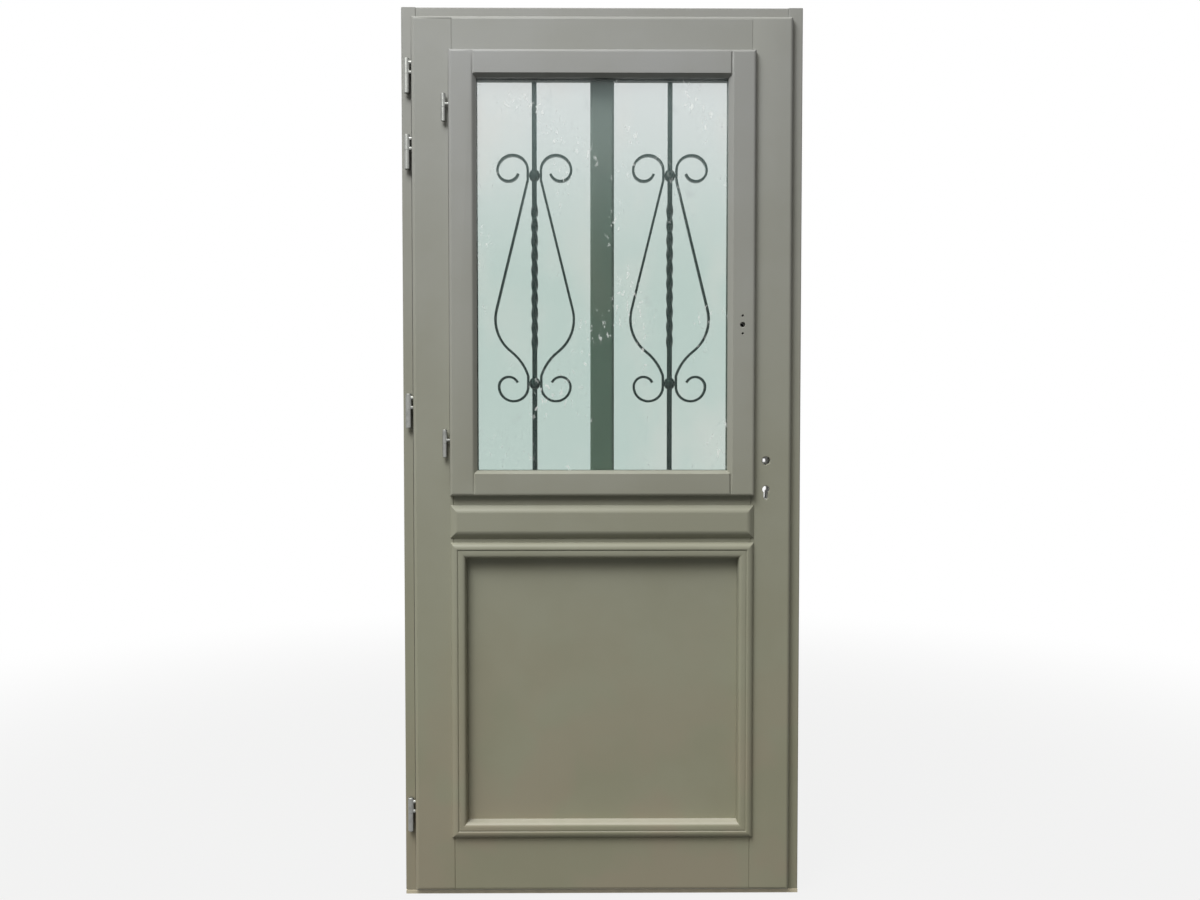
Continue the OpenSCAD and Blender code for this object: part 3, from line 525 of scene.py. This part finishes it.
def mitre(piece, side, low, high):
    """Keeps the short mitres crisp where the eased edges of a side and of an end meet."""
    def met(p):
        return on(side - abs(p.x), min(high - p.z, p.z - low), MITRE_SLACK)

    bm = bmesh.from_edit_mesh(piece.data)
    for edge in bm.edges:
        a, b = edge.verts[0].co, edge.verts[1].co
        edge.select = met(a) and met(b) and not long_edge(a, b)
    bmesh.update_edit_mesh(piece.data)
    bpy.ops.mesh.mark_sharp()


def round_outline(piece, low, high, width):
    """Rounds the front edges along the outline of the leaf or of the light."""
    outer = -low.x

    def wanted(a, b):
        sides = on(abs(a.x), outer) and on(abs(b.x), outer)
        ends = both(a, b, 2, high.z) or both(a, b, 2, low.z)
        return long_edge(a, b) and both(a, b, 1, low.y) and (sides or ends)

    ease(piece, width, wanted)
    mitre(piece, outer, low.z, high.z)


def seam(piece, front, width):
    """A fine chamfer on the upright front edges where rails meet stiles."""
    ease(piece, width, lambda a, b: long_edge(a, b) and both(a, b, 1, front) and on(a.x, b.x), 1)


def wear_holes(piece, front, follower, holes, width):
    """Eases the rims of the holes around a follower."""
    spot = sum(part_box(follower), Vector()) / 2
    aside, drop, reach = holes

    def wanted(a, b):
        near = on(a.x, spot.x, aside) and on(a.z, spot.z - drop, reach)
        return near and both(a, b, 1, front) and not long_edge(a, b)

    ease(piece, width, wanted, 2)


def close(piece, node, material, angle=SMOOTH_JOINERY):
    """Ends the shaping of a piece: its shading, its finish and its place in the part."""
    bpy.ops.object.mode_set(mode="OBJECT")
    alone(piece)
    bpy.ops.object.shade_smooth_by_angle(angle=math.radians(angle))
    bpy.ops.object.modifier_add(type="WEIGHTED_NORMAL")
    piece.modifiers[-1].keep_sharp = True
    bpy.ops.object.modifier_apply(modifier=piece.modifiers[-1].name)
    coat(piece, material)
    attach(piece, BODY_OF[node])
    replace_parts(piece, node)


def dress(node, material, angle=SMOOTH_JOINERY):
    """A piece that keeps the shape of its solid."""
    close(merged_copy(node), node, material, angle)


# Operators

class DOOR_OT_frame(bpy.types.Operator):
    """Jambs, head and threshold"""
    bl_idname = "door.frame"
    bl_label = "Frame"

    def execute(self, context):
        low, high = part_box("jamb_hinge_side")
        upright, across = both_ways("frame paint", colours().frame)
        for node, finish in (("jamb_hinge_side", upright), ("jamb_lock_side", upright),
                             ("frame_head", across)):
            piece = merged_copy(node)
            ease(piece, sizes().frame_arris, lambda a, b: long_edge(a, b, POST_LENGTH) and (
                both(a, b, 1, low.y) or both(a, b, 1, high.y)))
            close(piece, node, finish)
        piece = merged_copy("threshold")
        ease(piece, SILL_ARRIS,
             lambda a, b: long_edge(a, b, POST_LENGTH) and min(a.z, b.z) > SILL_FOOT)
        close(piece, "threshold", brushed_sill("threshold", colours().sill))
        return {"FINISHED"}


class DOOR_OT_leaf(bpy.types.Operator):
    """Stiles, rails, panel, board, weather bar, mouldings and mullion of the leaf"""
    bl_idname = "door.leaf"
    bl_label = "Leaf"

    def execute(self, context):
        low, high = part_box("leaf_stile_hinge_side")
        front = low.y
        upright, across = both_ways("leaf paint", colours().leaf)
        for node in ("leaf_stile_hinge_side", "leaf_stile_lock_side"):
            piece = merged_copy(node)
            round_outline(piece, low, high, sizes().leaf_arris)
            seam(piece, front, sizes().joint_line)
            wear_holes(piece, front, "lock_follower", LOCK_HOLES, sizes().hole_rim)
            close(piece, node, upright)
        for node in ("leaf_rail_top", "leaf_rail_middle", "leaf_rail_bottom"):
            piece = merged_copy(node)
            ease(piece, sizes().leaf_arris,
                 lambda a, b: long_edge(a, b, RAIL_LENGTH) and both(a, b, 1, front) and (
                     both(a, b, 2, high.z) or both(a, b, 2, low.z)))
            seam(piece, front, sizes().joint_line)
            close(piece, node, across)
        self.board("rail_board", across)
        self.bar("weather_bar", across)
        self.moulding("moulding_top", across, lambda p, low, high: high.z - p.z)
        self.moulding("moulding_bottom", across, lambda p, low, high: p.z - low.z)
        self.moulding("moulding_left", upright, lambda p, low, high: p.x - low.x)
        self.moulding("moulding_right", upright, lambda p, low, high: high.x - p.x)
        dress("leaf_panel", across)
        dress("mullion", paint("mullion paint", colours().mullion, "Z"))
        return {"FINISHED"}

    def board(self, node, material):
        low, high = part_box(node)
        piece = merged_copy(node)
        ease(piece, sizes().trim_arris, lambda a, b: long_edge(a, b) and both(a, b, 1, low.y), 4)
        mitre(piece, high.x, low.z, high.z)
        close(piece, node, material)

    def bar(self, node, material):
        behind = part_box(node)[0].y + BAR_ARRIS
        piece = merged_copy(node)
        ease(piece, BAR_ARRIS, lambda a, b: long_edge(a, b, RAIL_LENGTH) and a.y > behind)
        close(piece, node, material)

    def moulding(self, node, material, inward):
        """Gives the inner band of a moulding a fuller section, row by row, and a shallow quirk."""
        low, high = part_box(node)
        piece = merged_copy(node)
        bm = bmesh.from_edit_mesh(piece.data)
        width = max(inward(v.co, low, high) for v in bm.verts)
        start = BAND_START * width
        rows = {}
        for vert in bm.verts:
            key = (round(inward(vert.co, low, high), 5), round(vert.co.y, 5))
            rows.setdefault(key, []).append(vert.index)
        top = low.y + BAND_CREST
        depth = high.y - BAND_FOOT - top
        power = sizes().band_power
        moves = {}
        for across, y in rows:
            share = (across - start) / (BAND_SPAN * width)
            if on(y, low.y + QUIRK_DEPTH) and on(across, start, QUIRK_WIDTH):
                moves[across, y] = low.y + QUIRK_SHALLOW - y
            elif BAND_ENDS[0] < share < BAND_ENDS[1] and y < high.y - BACK_EDGE:
                fall = 1 - (1 - max(0.0, share) ** power) ** (1 / power)
                moves[across, y] = top + depth * fall - y
        bpy.ops.mesh.select_mode(type="VERT")
        for key, shift in moves.items():
            bpy.ops.mesh.select_all(action="DESELECT")
            bm = bmesh.from_edit_mesh(piece.data)
            bm.verts.ensure_lookup_table()
            for index in rows[key]:
                bm.verts[index].select_set(True)
            bmesh.update_edit_mesh(piece.data)
            bpy.ops.transform.translate(value=(0, shift, 0))
        close(piece, node, material, SMOOTH_ROUND)


class DOOR_OT_light(bpy.types.Operator):
    """Stiles, rails and beads of the opening light"""
    bl_idname = "door.light"
    bl_label = "Opening light"

    def execute(self, context):
        low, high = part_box("light_stile_hinge_side")
        upright, across = both_ways("light paint", colours().light)
        for node, finish in (("light_stile_hinge_side", upright), ("light_stile_lock_side", upright),
                             ("light_rail_top", across), ("light_rail_bottom", across)):
            piece = merged_copy(node)
            round_outline(piece, low, high, sizes().light_arris)
            seam(piece, low.y, sizes().light_joint)
            wear_holes(piece, low.y, "light_follower", LIGHT_HOLES, sizes().screw_rim)
            close(piece, node, finish)
        dress("glazing_beads", upright)
        return {"FINISHED"}


class DOOR_OT_glass(bpy.types.Operator):
    """Two panes and their spacer"""
    bl_idname = "door.glass"
    bl_label = "Panes"

    def execute(self, context):
        for node, marks in (("glass_inner", 0.42), ("glass_outer", 0.0)):
            dress(node, pane_glass(node + " pane", colours().pane, marks))
        coat(NODES["glass_spacer"], plated("spacer", SPACER_METAL, 0.5))
        return {"FINISHED"}


class DOOR_OT_grille(bpy.types.Operator):
    """Twisted bars, collars and scrolls"""
    bl_idname = "door.grille"
    bl_label = "Grille"

    def execute(self, context):
        iron = ironwork("grille iron", colours().iron)
        for node in NODES:
            if SLOT_OF[node] == "grille_iron":
                dress(node, iron, SMOOTH_METAL)
        return {"FINISHED"}


class DOOR_OT_hinges(bpy.types.Operator):
    """Upper and lower halves of the hinges"""
    bl_idname = "door.hinges"
    bl_label = "Hinges"

    def execute(self, context):
        metal = plated("hinge plating", colours().zinc)
        for node in NODES:
            if SLOT_OF[node] == "hinge_metal":
                dress(node, metal, SMOOTH_ROUND)
        return {"FINISHED"}


class DOOR_OT_locks(bpy.types.Operator):
    """Lock cases, keeps, followers and bolts"""
    bl_idname = "door.locks"
    bl_label = "Locks"

    def execute(self, context):
        metals = {"lock_steel": plated("lock steel", LOCK_STEEL, 0.4),
                  "bolt_metal": plated("bolt metal", BOLT_METAL, 0.28)}
        for node in NODES:
            if SLOT_OF[node] in metals:
                dress(node, metals[SLOT_OF[node]], SMOOTH_METAL)
        return {"FINISHED"}


class DOOR_OT_seals(bpy.types.Operator):
    """Rubber seals"""
    bl_idname = "door.seals"
    bl_label = "Seals"

    def execute(self, context):
        black = rubber("seal rubber")
        for node in ("frame_seal", "light_seal"):
            coat(NODES[node], black)
        return {"FINISHED"}


class DOOR_OT_stage(bpy.types.Operator):
    """Floor, lights, backdrop and camera"""
    bl_idname = "door.stage"
    bl_label = "Stage"

    def execute(self, context):
        scene = context.scene
        bpy.ops.object.select_all(action="DESELECT")
        bpy.ops.mesh.primitive_plane_add(size=30.0, location=(0, 0, 0))
        floor = context.active_object
        floor.name = "floor"
        coat(floor, self.floor_finish())
        self.sun("key", (-0.42, -0.64, 1.15), math.radians(58), 2.72, (1.0, 0.985, 0.92))
        self.lamp("top", (-1.4, -2.3, 4.4), (0.0, 0.0, 1.6), 1.6, 115.0, (0.96, 0.985, 1.0))
        self.lamp("rear", (0.4, 2.4, 3.0), (0.0, 0.0, 1.3), 2.2, 40.0, (0.97, 1.0, 1.0))
        self.backdrop(scene)
        view = bpy.data.cameras.new("camera")
        camera = bpy.data.objects.new("camera", view)
        scene.collection.objects.link(camera)
        camera.location = EYE
        camera.rotation_euler = (math.radians(90 - TILT), 0, math.radians(TURN))
        view.sensor_width = SENSOR
        view.lens = LENS
        scene.camera = camera
        scene.view_settings.view_transform = "Standard"
        return {"FINISHED"}

    def floor_finish(self):
        """Pale floor that keeps a faint shadow and meets the white backdrop."""
        f = Finish("floor")
        white = f.node("ShaderNodeEmission", None, Color=full(WHITE), Strength=1.0).get("Emission")
        far = (f.axis("X") * f.axis("X") + f.axis("Y") * f.axis("Y")).between(1.0, 16.0)
        seen = seen_directly(f.tree) * (0.86 + far * 0.14)
        f.finish(f.blend(seen, f.matt(FLOOR), white))
        return f.material

    def sun(self, name, towards, angle, strength, colour):
        data = bpy.data.lights.new(name, "SUN")
        data.angle = angle
        self.hang(data, strength, colour, Vector(towards) * 3.0, -Vector(towards))

    def lamp(self, name, place, target, size, power, colour):
        data = bpy.data.lights.new(name, "AREA")
        data.size = size
        self.hang(data, power, colour, Vector(place), Vector(target) - Vector(place))

    def hang(self, data, energy, colour, place, aim):
        data.energy = energy
        data.color = colour
        lamp = bpy.data.objects.new(data.name, data)
        bpy.context.scene.collection.objects.link(lamp)
        lamp.location = place
        lamp.rotation_euler = aim.to_track_quat("-Z", "Y").to_euler()

    def backdrop(self, scene):
        """White where it is seen, and a weak sky where it lights the door."""
        world = bpy.data.worlds.new("backdrop")
        scene.world = world
        world.use_nodes = True
        tree = world.node_tree
        tree.nodes.clear()
        white, dim = (
            make(tree, "ShaderNodeBackground", None, {"Color": full(tone), "Strength": level}).get(0)
            for tone, level in ((WHITE, 1.0), (DIM_SKY, 0.05)))
        plugs = {0: seen_directly(tree), 1: dim, 2: white}
        mixed = make(tree, "ShaderNodeMixShader", None, plugs).get(0)
        make(tree, "ShaderNodeOutputWorld", None, {"Surface": mixed})


class DOOR_PT_pieces(bpy.types.Panel):
    """Lists the pieces in the sidebar"""
    bl_idname = "DOOR_PT_pieces"
    bl_label = "Glazed front door"
    bl_space_type = "VIEW_3D"
    bl_region_type = "UI"
    bl_category = "Door"

    def draw(self, context):
        for operator in OPERATORS:
            self.layout.operator(operator.bl_idname)
        for group in (context.scene.door_sizes, context.scene.door_colours):
            for name in group.bl_rna.properties.keys():
                if name not in ("rna_type", "name"):
                    self.layout.prop(group, name)


OPERATORS = (DOOR_OT_frame, DOOR_OT_leaf, DOOR_OT_light, DOOR_OT_glass, DOOR_OT_grille,
             DOOR_OT_hinges, DOOR_OT_locks, DOOR_OT_seals, DOOR_OT_stage)
CLASSES = (DoorSizes, DoorColours) + OPERATORS + (DOOR_PT_pieces,)


def register():
    for item in CLASSES:
        bpy.utils.register_class(item)
    bpy.types.Scene.door_sizes = bpy.props.PointerProperty(type=DoorSizes)
    bpy.types.Scene.door_colours = bpy.props.PointerProperty(type=DoorColours)


def unregister():
    del bpy.types.Scene.door_colours
    del bpy.types.Scene.door_sizes
    for item in reversed(CLASSES):
        bpy.utils.unregister_class(item)


def main():
    register()
    bpy.ops.door.frame()
    bpy.ops.door.leaf()
    bpy.ops.door.light()
    bpy.ops.door.glass()
    bpy.ops.door.grille()
    bpy.ops.door.hinges()
    bpy.ops.door.locks()
    bpy.ops.door.seals()
    bpy.ops.door.stage()


if __name__ == "__main__":
    main()
